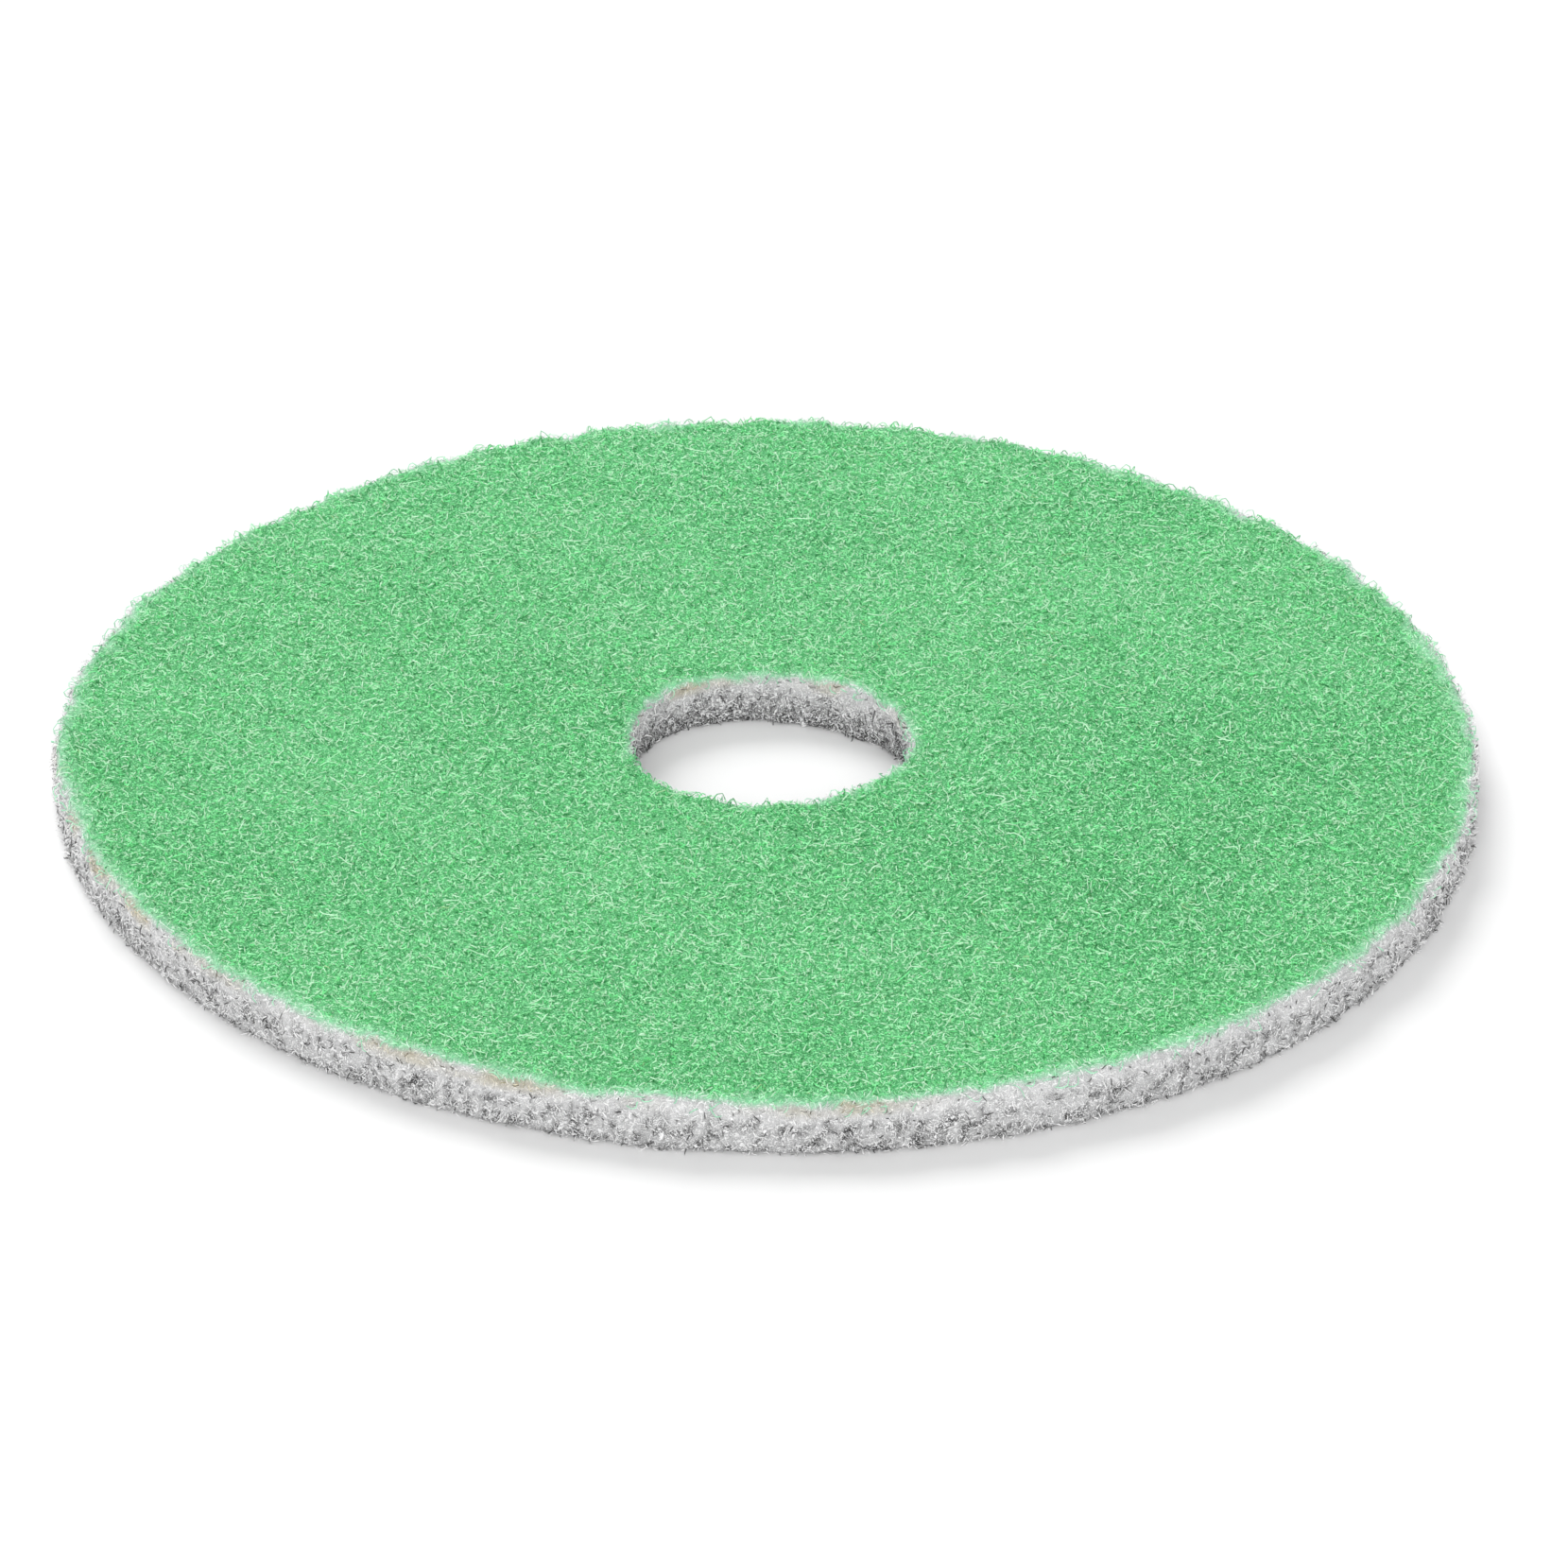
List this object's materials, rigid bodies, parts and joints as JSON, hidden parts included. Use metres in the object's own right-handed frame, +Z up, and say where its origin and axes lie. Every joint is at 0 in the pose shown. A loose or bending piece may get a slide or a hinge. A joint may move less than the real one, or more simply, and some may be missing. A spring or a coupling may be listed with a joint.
{
  "type": "floor polishing pad",
  "caption": "Round nonwoven fibre floor pad with a green abrasive coating on its working face and a hole through its centre for the pad driver's lock.",
  "frame": {"origin": "centre of the bare underside, on the axis of the hole", "axes": "+Z up through the thickness, out of the green coated working face; the pad is round about Z, so +X and +Y are free"},
  "size_m": [0.4347, 0.4316, 0.018],
  "materials": {
    "coated_fibre": "matt nonwoven polyester fibre soaked in a green abrasive resin coating, on the upper face and down over its edges",
    "bare_fibre": "matt grey-white crimped polyester fibre with no coating, on the rim, the hole's wall and the underside"
  },
  "bodies": {
    "root": {"fibre_pad": "coated_fibre"}
  },
  "joints": []
}
